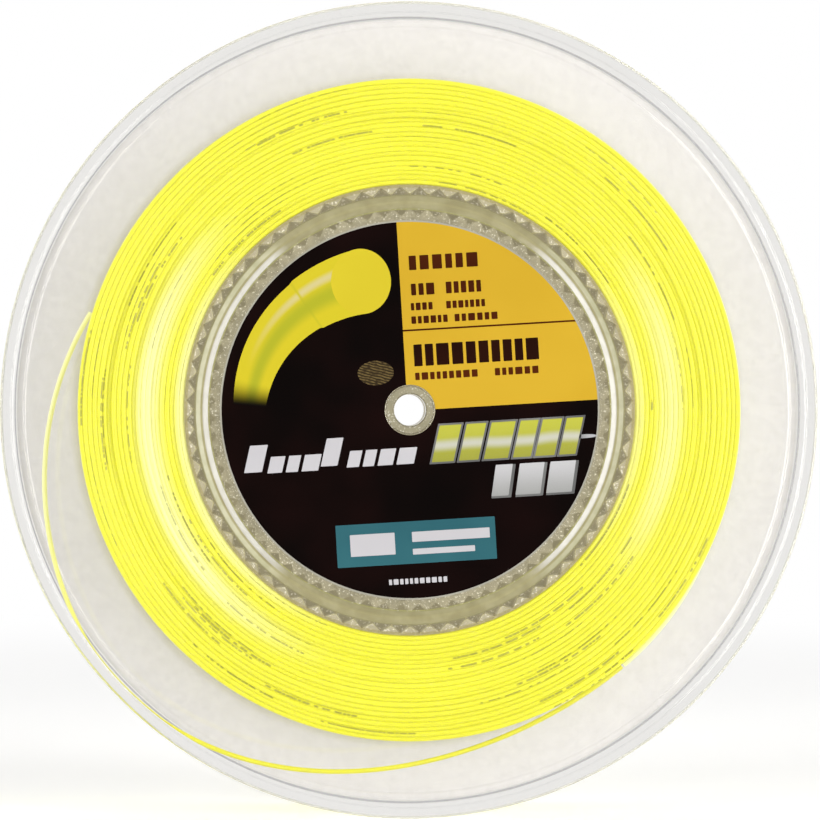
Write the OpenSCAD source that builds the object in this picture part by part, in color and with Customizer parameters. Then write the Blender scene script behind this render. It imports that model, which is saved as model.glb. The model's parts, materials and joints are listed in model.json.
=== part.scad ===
// String reel: two clear flanges splined into a clear drum, a printed label on each side,
// and a pack of wound racket string whose outer turn has sprung loose.
// Millimetres. The reel stands upright: its axis is Y, its front faces -Y, +Z is up and the
// origin is its centre. Modules are drawn lying down, front up, and upright() stands them.

/* [Flanges] */
// Outer diameter of each flange
flange_d = 210; // [200:1:230]
// Gap between the two flange plates, which the string fills
winding_w = 26; // [22:0.5:32]
// Thickness of the flange plate
plate_t = 1.5; // [1.2:0.1:2]
// Radial width of the thickened rim bead
rim_w = 2.6; // [2.2:0.1:5]
// How far the rim bead stands above each face of the plate
rim_stand = 0.3; // [0.2:0.05:0.5]

/* [Hub] */
// Diameter of the drum that the string is wound on
drum_d = 116; // [113:1:124]
// Teeth on each spline between a flange and the drum
spline_teeth = 72; // [48:1:90]
// Radial height of the spline teeth
spline_h = 1.8; // [1.2:0.1:2]
// Running gap between a flange's spline and the drum's
spline_gap = 0.1; // [0.05:0.01:0.15]
// Depth that the flange's skirts reach below its inner face
skirt_depth = 7; // [5:0.5:8]
// Width of the open groove round the label at the flange's face
groove_w = 3.4; // [2.8:0.1:3.6]
// Depth of the groove
groove_depth = 0.8; // [0.6:0.1:1.8]
// Diameter of the spindle bore
bore_d = 8.2; // [8:0.1:9]

/* [Label] */
// Diameter of the printed label
label_d = 97.6; // [80:0.1:98]
// Thickness of the label
label_t = 0.15; // [0.1:0.01:0.25]
// Size of the oval seal on the front label
seal_size = [9.3, 6.3]; // [4:0.1:10]

/* [String] */
// String diameter
string_d = 1.25; // [1.1:0.01:1.4]
// Outer diameter of the wound pack
pack_d = 170.8; // [140:0.1:174]

/* [Loose turn] */
// Angle where the loose turn leaves the pack
takeoff_a = -50; // [-90:1:0]
// Angle the string sweeps from there to its widest point, by the rim
rise_a = 89; // [70:1:110]
// Angle it sweeps from its widest point back to its cut tip
fall_a = 58; // [40:1:80]
// Height above the reel's middle where it leaves the pack
takeoff_z = 9.5; // [0:0.5:10]
// Height above the reel's middle of the cut tip
tip_z = -3; // [-8:0.5:8]

/* [Hidden] */
$fn = 96;
CLEAR = [0.93, 0.92, 0.90, 0.35];
YELLOW = [0.96, 0.94, 0.12];
BLACK = [0.05, 0.045, 0.04];
GOLD = [0.45, 0.36, 0.18];

inner_z = winding_w / 2;             // inner face of a flange plate
outer_z = inner_z + plate_t;         // outer face of a flange plate
rim_mid_z = inner_z + plate_t / 2;
rim_t = plate_t + 2 * rim_stand;
flange_r = flange_d / 2;
corner_r = 0.7;                      // rounding of the rim bead

drum_r = drum_d / 2;
drum_wall = 0.6;                     // least thickness of the drum's outer wall
spline_out_tip = drum_r - drum_wall - spline_gap;
spline_out_root = spline_out_tip - spline_h;
groove_land = 0.4;                   // from the outer spline to the groove's edge
groove_mid = spline_out_root - groove_land - groove_w / 2;
groove_floor = 1.2;                  // thickness left under the groove
spline_in_root = groove_mid - groove_w / 2 + 0.1;   // its roots start under the groove's edge
spline_in_tip = spline_in_root - spline_h;
block_r = groove_w / 2 - 0.15;       // half-width of the thicker ring under the groove
skirt_t = 1.4;
skirt_z = inner_z - skirt_depth;     // free end of the skirts
block_z = outer_z - groove_depth - groove_floor;

recess = 0.4;                        // depth of the label's seat
seat_z = outer_z - recess;
disc_t = 1.4;                        // thickness of the disc that carries the label
disc_z = seat_z - disc_t;            // underside of that disc
label_room = 0.45;                   // room round the label in its seat
seat_r = label_d / 2 + label_room;
label_hole = 0.3;                    // gap between the label and the tube it goes round
seal_t = 0.06;
bore_r = bore_d / 2;
boss_wall = 2.1;
boss_r = bore_r + boss_wall;
boss_stand = 0.1;                    // tube's end stays below the rim bead's face
boss_z = outer_z + boss_stand;
bore_chamfer = 0.35;
web_t = 1.5;
tube_wall = 1.9;
fit = 0.05;                          // gap between seated faces
overlap = 0.4;                       // depth that joined shapes share
past = 5;                            // how far a cutting shape reaches past what it cuts

string_r = string_d / 2;
pack_r = pack_d / 2;
pack_gap = 0.1;                      // between the pack and its flanges
start_z = -3.4;                      // height of the hole that the string starts from
start_hole_r = 1.1;
start_a = 189;
knot_r = 1.6;
knot_place = (spline_out_root + spline_in_root) / 2;

rim_reach = 1.25;                    // from the flange's edge to the widest turn's centreline
widest_r = flange_r - rim_reach;
tip_stand = 1.9;                     // from the pack to the cut tip's centreline
tip_r = pack_r + tip_stand;
lift = 0.12;                         // gap between the loose turn and the pack
bend_gap = 0.75;                     // from the bend point to the end of each link

// Stands a part that was drawn lying down, so that its front faces -Y
module upright() {
    rotate([90, 0, 0]) children();
}

// Points of a zigzag ring with the given number of teeth
function zigzag(teeth, root, tip) =
    [for (i = [0 : 2 * teeth - 1])
        let (r = i % 2 == 0 ? root : tip, a = i * 180 / teeth)
            [r * cos(a), r * sin(a)]];

// Rounded bar along X, from two overlapping squares and four corner circles
module rounded_bar(size, r) {
    square([size.x - 2 * r, size.y], center = true);
    square([size.x, size.y - 2 * r], center = true);
    for (x = [-1, 1], y = [-1, 1])
        translate([x * (size.x / 2 - r), y * (size.y / 2 - r)])
            circle(r);
}

// Flange plate, rim bead, label seat and central tube, as radius and height
module flange_profile() {
    polygon([
        [flange_r - rim_w / 2, outer_z],
        [seat_r, outer_z],
        [seat_r, seat_z],
        [boss_r, seat_z],
        [boss_r, boss_z],
        [bore_r, boss_z],
        [bore_r, skirt_z + fit],
        [boss_r, skirt_z + fit],
        [boss_r, disc_z],
        [groove_mid - block_r, disc_z],
        [groove_mid - block_r, block_z],
        [groove_mid + block_r, block_z],
        [groove_mid + block_r, inner_z],
        [flange_r - rim_w / 2, inner_z],
    ]);
    translate([flange_r - rim_w / 2, rim_mid_z])
        rounded_bar([rim_w, rim_t], corner_r);
}

// Splined skirt: a ring between the outer and the inner outline, under the flange
module skirt(top_z) {
    translate([0, 0, skirt_z])
        linear_extrude(top_z - skirt_z)
            children();
}

// Open groove with sloping walls
module groove() {
    floor_half = 0.3;
    slope = (groove_w / 2 - floor_half) / groove_depth;
    above = 1;
    mouth_half = groove_w / 2 + slope * above;
    rotate_extrude()
        translate([groove_mid, outer_z])
            polygon([[-mouth_half, above], [-floor_half, -groove_depth],
                [floor_half, -groove_depth], [mouth_half, above]]);
}

// One flange, with its outer face up
module flange() {
    color(CLEAR)
        difference() {
            union() {
                rotate_extrude() flange_profile();
                skirt(inner_z + overlap)
                    difference() {
                        polygon(zigzag(spline_teeth, spline_out_root, spline_out_tip));
                        circle(spline_out_root - skirt_t);
                    }
                skirt(disc_z + overlap)
                    difference() {
                        circle(spline_in_root + skirt_t);
                        polygon(zigzag(spline_teeth, spline_in_root, spline_in_tip));
                    }
            }
            groove();
            translate([0, 0, boss_z - bore_chamfer])
                cylinder(h = 2 * bore_chamfer, r1 = bore_r, r2 = bore_r + 2 * bore_chamfer);
        }
}

// Double-walled drum: barrel, inner ring, web with ribs, and central tube
module drum() {
    rib_t = 1.2;
    ribs = 6;
    hub_r = boss_r + fit + tube_wall;
    ring_t = 1.4;
    ring_r = spline_in_tip - spline_gap - ring_t;
    color(CLEAR)
        difference() {
            union() {
                linear_extrude(2 * (inner_z - fit), center = true)
                    difference() {
                        circle(drum_r);
                        polygon(zigzag(spline_teeth, spline_out_root + spline_gap,
                            spline_out_tip + spline_gap));
                    }
                linear_extrude(2 * (disc_z - fit), center = true)
                    difference() {
                        polygon(zigzag(spline_teeth, spline_in_root - spline_gap,
                            spline_in_tip - spline_gap));
                        circle(ring_r);
                    }
                cylinder(h = 2 * (disc_z - fit), r = hub_r, center = true);
                cylinder(h = web_t, r = drum_r - drum_wall / 2, center = true);
                for (i = [0 : ribs - 1])
                    rotate(i * 360 / ribs)
                        translate([hub_r - overlap, -rib_t / 2, -skirt_z])
                            cube([ring_r - hub_r + 2 * overlap, rib_t, 2 * skirt_z]);
            }
            cylinder(h = winding_w + 2 * past, r = bore_r, center = true);
            for (side = [0, 1])
                mirror([0, 0, side])
                    translate([0, 0, skirt_z])
                        cylinder(h = skirt_depth + past, r = boss_r + fit);
            rotate(start_a)
                translate([spline_out_root - overlap, 0, start_z])
                    rotate([0, 90, 0])
                        cylinder(h = past, r = start_hole_r);
        }
}

// Printed label in the flange's seat, face up
module label(print) {
    color(print)
        translate([0, 0, seat_z])
            linear_extrude(label_t)
                difference() {
                    circle(label_d / 2);
                    circle(boss_r + label_hole);
                }
}

// Oval security sticker on the front label
module seal() {
    lean = 3.3;
    place = [-8.8, 9.5];
    color(GOLD)
        translate([place.x, place.y, seat_z + label_t])
            rotate(lean)
                linear_extrude(seal_t)
                    scale([1, seal_size.y / seal_size.x])
                        circle(seal_size.x / 2);
}

// Wound string, as the ring that its turns fill
module string_pack() {
    edge = 1.2;
    width = 2 * (inner_z - pack_gap);
    start_r = drum_r + fit;
    color(YELLOW)
        rotate_extrude()
            union() {
                translate([start_r, -width / 2])
                    square([pack_r - edge - start_r, width]);
                translate([start_r, -width / 2 + edge])
                    square([pack_r - start_r, width - 2 * edge]);
                for (y = [-1, 1])
                    translate([pack_r - edge, y * (width / 2 - edge)])
                        circle(edge);
            }
}

// Inner end of the string: through the drum's wall to a stopper knot
module string_start() {
    color(YELLOW)
        rotate(start_a)
            translate([knot_place, 0, start_z]) {
                sphere(knot_r);
                rotate([0, 90, 0])
                    cylinder(h = drum_r - knot_place, r = string_r);
            }
}

// Centreline of the loose turn at a share of its rise to the rim (t up to 1),
// or of its fall back towards the pack (t above 1)
function ease(t) = pow(sin(90 * pow(t, 1.2)), 2);
function loose_r(t) =
    t <= 1
        ? pack_r + string_r + lift + (widest_r - pack_r - string_r - lift) * ease(t)
        : tip_r + (widest_r - tip_r) * (1 - pow(t - 1, 1.3));
function loose_a(t) = takeoff_a - rise_a * min(t, 1) - fall_a * max(t - 1, 0);
function loose_z(t) = takeoff_z + (tip_z - takeoff_z) * pow(t / 2, 2);
function loose_point(t) =
    [loose_r(t) * cos(loose_a(t)), loose_r(t) * sin(loose_a(t)), loose_z(t)];

function unit(v) = v / norm(v);

// Closed tube of radius r along a path, with flat ends
module tube(path, r, sides = 12) {
    last = len(path) - 1;
    rings = [for (i = [0 : last])
        let (along = unit(path[min(i + 1, last)] - path[max(i - 1, 0)]),
            across = unit(cross([0, 0, 1], along)),
            up = cross(along, across))
            for (k = [0 : sides - 1])
                path[i] + r * (cos(k * 360 / sides) * across + sin(k * 360 / sides) * up)];
    walls = [for (i = [0 : last - 1], k = [0 : sides - 1])
        let (a = i * sides + k, b = i * sides + (k + 1) % sides)
            [a, a + sides, b + sides, b]];
    ends = [[for (k = [0 : sides - 1]) k],
        [for (k = [sides - 1 : -1 : 0]) last * sides + k]];
    polyhedron(points = rings, faces = concat(walls, ends), convexity = 4);
}

// Loose turn, from where it leaves the pack to its bend by the rim
module loose_turn() {
    steps = 44;
    stop = 1 - bend_gap / (widest_r * rise_a * PI / 180);
    color(YELLOW)
        tube([for (i = [0 : steps]) loose_point(stop * i / steps)], string_r);
}

// Free end, from the bend by the rim to the cut tip
module free_end() {
    steps = 28;
    start = 1 + bend_gap / (widest_r * fall_a * PI / 180);
    color(YELLOW)
        tube([for (i = [0 : steps]) loose_point(start + (2 - start) * i / steps)], string_r);
}

upright() flange();  // front_flange
upright() mirror([0, 0, 1]) flange();  // rear_flange
upright() drum();
upright() label(BLACK);  // front_label
upright() mirror([0, 0, 1]) label(BLACK);  // rear_label
upright() seal();
upright() string_pack();
upright() string_start();
upright() loose_turn();
upright() free_end();
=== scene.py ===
"""The looks of a string reel: clear flanges and drum, wound yellow string, printed labels.

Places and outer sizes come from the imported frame, and wall thicknesses repeat the CAD's. Units
are metres. The reel stands upright: its axis is Y, its front faces -Y, and angles go from +X
towards +Z, anticlockwise from the front.
"""

import json
import math

import bmesh
import bpy
import numpy as np
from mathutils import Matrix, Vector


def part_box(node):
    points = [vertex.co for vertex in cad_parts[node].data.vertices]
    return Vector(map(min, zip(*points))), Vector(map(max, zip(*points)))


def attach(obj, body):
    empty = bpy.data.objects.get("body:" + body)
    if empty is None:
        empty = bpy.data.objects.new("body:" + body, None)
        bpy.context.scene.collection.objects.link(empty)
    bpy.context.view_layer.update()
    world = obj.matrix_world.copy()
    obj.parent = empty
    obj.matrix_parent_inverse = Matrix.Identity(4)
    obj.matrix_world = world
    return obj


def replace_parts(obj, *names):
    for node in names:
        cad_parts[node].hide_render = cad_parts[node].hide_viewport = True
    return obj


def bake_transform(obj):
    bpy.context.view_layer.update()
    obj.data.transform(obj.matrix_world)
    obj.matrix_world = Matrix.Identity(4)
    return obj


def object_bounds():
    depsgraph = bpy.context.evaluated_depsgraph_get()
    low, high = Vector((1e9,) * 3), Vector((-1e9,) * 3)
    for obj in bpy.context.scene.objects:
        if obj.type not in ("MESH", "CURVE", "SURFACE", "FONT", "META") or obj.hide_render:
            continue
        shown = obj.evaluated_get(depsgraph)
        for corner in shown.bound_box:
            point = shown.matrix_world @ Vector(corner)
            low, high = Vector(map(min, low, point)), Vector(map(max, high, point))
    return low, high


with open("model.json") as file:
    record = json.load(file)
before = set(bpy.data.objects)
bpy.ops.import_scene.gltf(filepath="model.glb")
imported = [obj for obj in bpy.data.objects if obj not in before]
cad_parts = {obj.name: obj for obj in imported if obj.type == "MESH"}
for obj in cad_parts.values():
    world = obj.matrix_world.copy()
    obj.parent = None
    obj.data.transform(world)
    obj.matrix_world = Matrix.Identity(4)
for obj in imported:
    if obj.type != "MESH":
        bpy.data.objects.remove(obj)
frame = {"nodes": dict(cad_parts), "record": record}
cad_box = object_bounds()

MM = 0.001
TURN = 2 * math.pi
FRONT, REAR = -1, 1                            # sides of the reel along Y

# ---------------------------------------------------------------- sizes

FLANGE_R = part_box("front_flange")[1].x
RIM_FACE = -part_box("front_flange")[0].y        # the rim bead's outer face
SKIRT_END = -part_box("front_flange")[1].y       # the skirts' inner ends
DRUM_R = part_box("drum")[1].x
DRUM_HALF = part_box("drum")[1].y
PACK_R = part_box("string_pack")[1].x
PACK_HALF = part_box("string_pack")[1].y
LABEL_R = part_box("front_label")[1].x
PRINT_R = LABEL_R - 0.45 * MM                  # the label's paper shows as a thin margin
LABEL_FACE = -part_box("front_label")[0].y
SEAT_FACE = -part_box("front_label")[1].y
BORE_R = frame["record"]["mounts"][0]["dims"]["r_mm"] * MM

# The same design values as the CAD's, for the pieces that are rebuilt with finer meshes
FIT = 0.05 * MM                                # gap in the joints of flanges and drum
PLATE_T = 1.5 * MM
BEAD_STAND = 0.3 * MM
BEAD_W = 2.6 * MM
OUTER_FACE = RIM_FACE - BEAD_STAND
INNER_FACE = OUTER_FACE - PLATE_T
TEETH = 72
TOOTH_H = 1.8 * MM
SPLINE_GAP = 0.1 * MM
DRUM_WALL = 0.6 * MM
SPLINE_OUT = DRUM_R - DRUM_WALL - SPLINE_GAP - TOOTH_H   # roots of the flange's outer spline
GROOVE_LAND = 0.4 * MM
GROOVE_W = 3.4 * MM
GROOVE_DEPTH = 0.8 * MM
GROOVE_FLOOR = 1.2 * MM
GROOVE_MID = SPLINE_OUT - GROOVE_LAND - GROOVE_W / 2
SPLINE_IN = GROOVE_MID - GROOVE_W / 2 + 0.1 * MM         # roots of its inner spline
SKIRT_T = 1.4 * MM
BOSS_R = BORE_R + 2.1 * MM
BOSS_STAND = 0.1 * MM
SEAT_R = LABEL_R + 0.45 * MM
DISC_BACK = SEAT_FACE - 1.4 * MM
HUB_R = BOSS_R + FIT + 1.9 * MM                # the drum's central tube
RING_R = SPLINE_IN - SPLINE_GAP - TOOTH_H - 1.4 * MM     # bore of the drum's inner ring
WEB_HALF = 0.75 * MM

STRING_D = 1.25 * MM
STRING_R = STRING_D / 2


# ---------------------------------------------------------------- node helpers

def new_material(name):
    """A material with an empty node tree and its output node."""
    made = bpy.data.materials.new(name)
    made.use_nodes = True
    made.node_tree.nodes.clear()
    return made, Nodes(made.node_tree)


class Nodes:
    """Short calls for building a node tree. Inputs are values or the sockets of other nodes."""

    def __init__(self, tree):
        self.tree = tree

    def add(self, kind, settings=None, **inputs):
        node = self.tree.nodes.new(kind)
        for key, value in (settings or {}).items():
            setattr(node, key, value)
        for key, value in inputs.items():
            self.feed(self.find(node, key), value)
        return node

    def find(self, node, key):
        """Input k by place (in0, in1) or by name, with _ for a space."""
        if key.startswith("in") and key[2:].isdigit():
            return node.inputs[int(key[2:])]
        return node.inputs[key.replace("_", " ")]

    def feed(self, socket, value):
        if isinstance(value, bpy.types.NodeSocket):
            self.tree.links.new(value, socket)
        else:
            socket.default_value = value

    def math(self, operation, a, b=0.0, clamp=False):
        settings = {"operation": operation, "use_clamp": clamp}
        return self.add("ShaderNodeMath", settings, in0=a, in1=b).outputs[0]

    def fade(self, value, low, high, to_low=0.0, to_high=1.0):
        """Smooth step of value from low to high."""
        settings = {"interpolation_type": "SMOOTHSTEP"}
        node = self.add("ShaderNodeMapRange", settings, in0=value, in1=low, in2=high,
                        in3=to_low, in4=to_high)
        return node.outputs[0]

    def below(self, value, limit, edge):
        """1 where value is under limit, with an edge of the given softness."""
        return self.fade(value, limit - edge, limit + edge, 1.0, 0.0)

    def mix(self, factor, a, b):
        """Colour a to colour b by factor."""
        node = self.add("ShaderNodeMix", {"data_type": "RGBA"})
        self.feed(node.inputs[0], factor)
        self.feed(node.inputs[6], a)
        self.feed(node.inputs[7], b)
        return node.outputs[2]

    def place(self, kind="Object"):
        return self.add("ShaderNodeTexCoord").outputs[kind]

    def split(self, vector):
        """The three numbers of a vector."""
        return self.add("ShaderNodeSeparateXYZ", in0=vector).outputs[:]

    def radius(self):
        """Distance from the reel's axis."""
        x, _, z = self.split(self.place())
        flat = self.add("ShaderNodeCombineXYZ", in0=x, in2=z).outputs[0]
        return self.add("ShaderNodeVectorMath", {"operation": "LENGTH"}, in0=flat).outputs["Value"]

    def noise(self, scale, detail=2.0, vector=None):
        node = self.add("ShaderNodeTexNoise", Scale=scale, Detail=detail)
        if vector is not None:
            self.feed(node.inputs["Vector"], vector)
        return node.outputs["Fac"]

    def noise_1d(self, value, scale, detail=0.0):
        """Smooth noise along one number."""
        node = self.add("ShaderNodeTexNoise", {"noise_dimensions": "1D"}, Scale=scale,
                        Detail=detail)
        self.feed(node.inputs["W"], value)
        return node.outputs["Fac"]

    def chance(self, value):
        """A steady random number from 0 to 1 for a whole number."""
        node = self.add("ShaderNodeTexWhiteNoise", {"noise_dimensions": "1D"})
        self.feed(node.inputs["W"], value)
        return node.outputs["Value"]

    def apart(self, a, b):
        """How far two numbers are from each other."""
        return self.math("ABSOLUTE", self.math("SUBTRACT", a, b))

    def dots(self, share):
        """A print's fine dot screen, up to the given share."""
        return self.fade(self.noise(7000.0, 1.0, self.place()), 0.35, 0.65, 0.0, share)

    def ray(self, kind):
        """1 for rays of a kind, such as Camera, Shadow or Transmission."""
        return self.add("ShaderNodeLightPath").outputs[f"Is {kind} Ray"]

    def see_through(self, tint=(1, 1, 1, 1)):
        return self.add("ShaderNodeBsdfTransparent", Color=tint).outputs[0]

    def shader_mix(self, factor, a, b):
        node = self.add("ShaderNodeMixShader", in0=factor)
        self.feed(node.inputs[1], a)
        self.feed(node.inputs[2], b)
        return node.outputs[0]

    def bump(self, height, strength, distance):
        return self.add("ShaderNodeBump", Strength=strength, Distance=distance,
                        Height=height).outputs[0]

    def surface(self, shader):
        self.add("ShaderNodeOutputMaterial", Surface=shader)


# ---------------------------------------------------------------- materials

def groove_painted_light(n):
    """Painted light in the groove, as a tone and its share: an olive tone for light from the
    string, and a pale sheen of the side lights on its walls at the left and right.
    """
    x, _, _ = n.split(n.place())
    radius = n.radius()
    side = n.math("DIVIDE", n.math("ABSOLUTE", x), radius)
    # painted sheen of the side lights, at the groove's left and right
    lit = n.fade(side, 0.58, 0.70)
    inner_wall = n.below(radius, GROOVE_MID - 0.12 * MM, 0.1 * MM)
    outer_wall = n.fade(radius, GROOVE_MID + 0.3 * MM, GROOVE_MID + 0.6 * MM)
    streaks = n.fade(n.noise(220.0, 2.0, n.place()), 0.3, 0.7)
    # olive painted tone, for light bounced from the string
    olive = n.mix(streaks, (0.29, 0.26, 0.13, 1), (0.36, 0.33, 0.18, 1))
    green = n.mix(streaks, (0.42, 0.41, 0.24, 1), (0.52, 0.50, 0.33, 1))
    cream = n.mix(streaks, (0.50, 0.48, 0.42, 1), (0.57, 0.55, 0.49, 1))
    tone = n.mix(n.math("MULTIPLY", lit, outer_wall), olive, green)
    tone = n.mix(n.math("MULTIPLY", lit, inner_wall), tone, cream)
    return tone, 0.8


def clear_plastic(name, tint, roughness, haze, paint=None):
    """Clear moulded plastic with faint flow lines. Lamp light goes straight through it.

    Paint gives the tone and share of a painted sheen that is always seen and glows a little."""
    made, n = new_material(name)
    place = n.place()
    flow = n.noise(45.0, 2.0, place)
    rough = n.fade(flow, 0.3, 0.7, roughness * 0.6, roughness * 1.4)
    normal = n.bump(flow, 0.03, 0.0006)
    glass = n.add("ShaderNodeBsdfGlass", Color=tint, Roughness=rough, IOR=1.5, Normal=normal)
    milk = n.add("ShaderNodeBsdfDiffuse", Color=(0.9, 0.88, 0.84, 1))
    scratches = n.fade(n.noise(900.0, 3.0, place), 0.5, 0.8, haze * 0.6, haze * 2.0)
    body = n.shader_mix(scratches, glass.outputs[0], milk.outputs[0])
    if paint is not None:
        tone, share = paint(n)
        # painted light: a glowing sheen, seen from every side
        sheen = n.add("ShaderNodeBsdfPrincipled", Base_Color=tone, Roughness=0.3,
                      Normal=normal, Emission_Color=tone, Emission_Strength=0.45)
        body = n.shader_mix(share, body, sheen.outputs[0])
    n.surface(n.shader_mix(n.ray("Shadow"), body, n.see_through((0.95, 0.94, 0.92, 1))))
    return made


def hazy_plastic(name, low, high, glow, clear):
    """Plastic that scatters light. Its olive tone is painted light from the string round it,
    darker in the toothed bands, with painted pale glints there and a painted shade at the barrel's
    edge.

    Glow is painted light that stands for light reaching it through the string. Clear is its
    see-through share."""
    made, n = new_material(name)
    place = n.place()
    cloud = n.noise(160.0, 3.0, place)
    grain = n.noise(2600.0, 2.0, place)
    smooth = n.mix(n.fade(cloud, 0.3, 0.7), low, high)
    radius = n.radius()
    toothed = n.math("MAXIMUM", n.below(radius, GROOVE_MID - GROOVE_W / 2, 0.15 * MM),
                     n.fade(radius, SPLINE_OUT + 0.1 * MM, SPLINE_OUT + 0.4 * MM))
    # painted glints: pale specks in the toothed bands
    specks = n.math("MULTIPLY", n.fade(n.noise(1900.0, 1.0, place), 0.58, 0.7), toothed)
    banded = n.mix(toothed, n.mix(0.85, smooth, (0.33, 0.30, 0.17, 1)), smooth)
    tone = n.mix(n.math("MULTIPLY", specks, 0.6), banded, (0.80, 0.78, 0.70, 1))
    # painted shade: darker at the barrel's outer edge, beside the pack
    barrel = n.fade(radius, DRUM_R - 1.0 * MM, DRUM_R - 0.6 * MM, 0.0, 0.75)
    tone = n.mix(barrel, tone, (0.25, 0.21, 0.07, 1))
    normal = n.bump(grain, 0.15, 0.0001)
    face = n.add("ShaderNodeBsdfPrincipled", Base_Color=tone, Roughness=0.35, Normal=normal,
                 Emission_Color=tone, Emission_Strength=glow)
    deep = n.add("ShaderNodeBsdfTranslucent", Color=tone)
    solid = n.shader_mix(0.3, face.outputs[0], deep.outputs[0])
    glass = n.add("ShaderNodeBsdfGlass", Color=(0.97, 0.95, 0.88, 1), Roughness=0.35, IOR=1.5)
    body = n.shader_mix(clear, solid, glass.outputs[0])
    through = n.see_through((0.6, 0.58, 0.45, 1))
    n.surface(n.shader_mix(n.math("MULTIPLY", n.ray("Shadow"), clear), body, through))
    return made


def string_material(name, low, high, painted_reflection_from=None):
    """Bright monofilament. Its coordinates are length along and turn round the strand.

    The maker's print is replaced by plain dashes, in groups on a line that twists round.
    The strand turns paler after a given length, its last argument: a painted reflection of the
    side light in the flange in front. Turns near the drum have a painted pale sheen at the reel's
    left and right, where the side lights glance off them. Its glow is partly the string's
    fluorescence and partly painted light that lifts the gaps between turns."""
    made, n = new_material(name)
    length, turn, _ = n.split(n.place("UV"))
    mark_step, group_step, twist_rate = 1.1 * MM, 96 * MM, 1.3
    cell = n.math("DIVIDE", length, mark_step)
    whole = n.math("FLOOR", cell)
    share = n.math("FRACT", cell)
    mark_size = n.math("MULTIPLY_ADD", n.chance(whole), 0.5)
    mark = n.math("LESS_THAN", share, n.math("ADD", mark_size, 0.2))
    kept = n.math("GREATER_THAN", n.chance(n.math("ADD", whole, 0.5)), 0.25)
    group = n.math("LESS_THAN", n.math("FRACT", n.math("DIVIDE", length, group_step)), 0.26)
    twist = n.math("SUBTRACT", turn, n.math("MULTIPLY", length, twist_rate))
    line = n.below(n.apart(n.math("FRACT", twist), 0.5), 0.075, 0.02)
    ink = n.math("MULTIPLY", n.math("MULTIPLY", mark, kept), n.math("MULTIPLY", group, line))
    hue = n.fade(n.noise_1d(length, 9.0, 1.0), 0.3, 0.7)
    tone = n.mix(hue, low, high)
    # painted reflection of the side light in the flange in front: the loose string's far end turns
    # pale
    if painted_reflection_from is not None:
        tone = n.mix(n.fade(length, painted_reflection_from, painted_reflection_from + 80 * MM, 0.0, 0.7), tone,
                     (0.76, 0.77, 0.42, 1))
    # painted sheen of the side lights on the turns near the drum
    tone = n.mix(painted_string_sheen(n), tone, (0.84, 0.84, 0.55, 1))
    colour = n.mix(n.math("MULTIPLY", ink, 0.65), tone, (0.12, 0.11, 0.01, 1))
    draw_lines = n.noise_1d(n.math("MULTIPLY", turn, 40.0), 1.0)
    # The glow is partly the string's fluorescence and partly painted light that lifts the shaded
    # gaps between turns; the base colour is darkened to keep the total.
    shaded = n.mix(0.25, colour, (0, 0, 0, 1))
    base = n.add("ShaderNodeBsdfPrincipled", Base_Color=shaded, Roughness=0.36, IOR=1.5,
                 Normal=n.bump(draw_lines, 0.05, 0.0001), Emission_Color=colour,
                 Emission_Strength=0.52)
    n.surface(base.outputs[0])
    return made


def painted_string_sheen(n):
    """Share of a painted pale sheen: two bands near the drum, strongest at the left, weaker right.
    """
    x, _, z = n.split(n.place())
    radius = n.radius()
    bands = 0.0
    for middle, half, share in ((58.5 * MM, 3.5 * MM, 0.8), (67.5 * MM, 5.0 * MM, 1.0)):
        band = n.fade(n.apart(radius, middle), 0.0, half, share, 0.0)
        bands = n.math("MAXIMUM", bands, band)
    leftward = n.math("SUBTRACT", n.math("MULTIPLY", x, -0.98), n.math("MULTIPLY", z, 0.2))
    left = n.fade(n.math("DIVIDE", leftward, radius), 0.45, 0.97, 0.0, 0.62)
    right = n.fade(n.math("DIVIDE", x, radius), 0.75, 1.0, 0.0, 0.42)
    streaks = n.fade(n.noise_1d(radius, 900.0, 1.0), 0.3, 0.7, 0.75, 1.0)
    lobes = n.math("MULTIPLY", n.math("MAXIMUM", left, right), streaks)
    return n.math("MULTIPLY", lobes, bands)


def print_material(name, low, high, roughness=0.22, along=None):
    """Gloss-laminated print that drifts from low to high, with a fine dot screen.

    Along is an axis of the label and the places on it, in millimetres, of the two tones."""
    made, n = new_material(name)
    if along is None:
        drift = n.fade(n.noise(40.0, 2.0, n.place()), 0.3, 0.7, 0.0, 0.8)
    else:
        axis, start, end = along
        drift = n.fade(n.split(n.place("UV"))[axis], start * MM, end * MM, 0.0, 0.8)
    colour = n.mix(n.math("ADD", drift, n.dots(0.2)), low, high)
    print_surface(n, colour, roughness)
    return made


def print_surface(n, colour, roughness):
    """The laminate's gloss over a printed colour."""
    ripple = n.noise(120.0, 1.0, n.place())
    base = n.add("ShaderNodeBsdfPrincipled", Base_Color=colour, Roughness=roughness,
                 Normal=n.bump(ripple, 0.02, 0.0005))
    n.surface(base.outputs[0])


def chrome_material(name, top, low, middle, height):
    """Printed shine: a tone that deepens downwards, with a bright streak across it."""
    made, n = new_material(name)
    along, up, _ = n.split(n.place("UV"))
    deep = n.fade(up, (middle + height / 2) * MM, (middle - height / 2) * MM)
    tone = n.mix(deep, top, low)
    wander = n.math("MULTIPLY", n.fade(n.noise_1d(along, 60.0), 0.3, 0.7, -1.0, 1.0), 0.25 * MM)
    apart = n.math("ABSOLUTE", n.math("ADD", n.math("SUBTRACT", up, middle * MM), wander))
    streak = n.fade(apart, 0.0, 0.22 * height * MM, 0.75, 0.0)
    shine = n.mix(n.math("ADD", streak, n.dots(0.12)), tone, (0.75, 0.74, 0.7, 1))
    print_surface(n, shine, 0.2)
    return made


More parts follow.
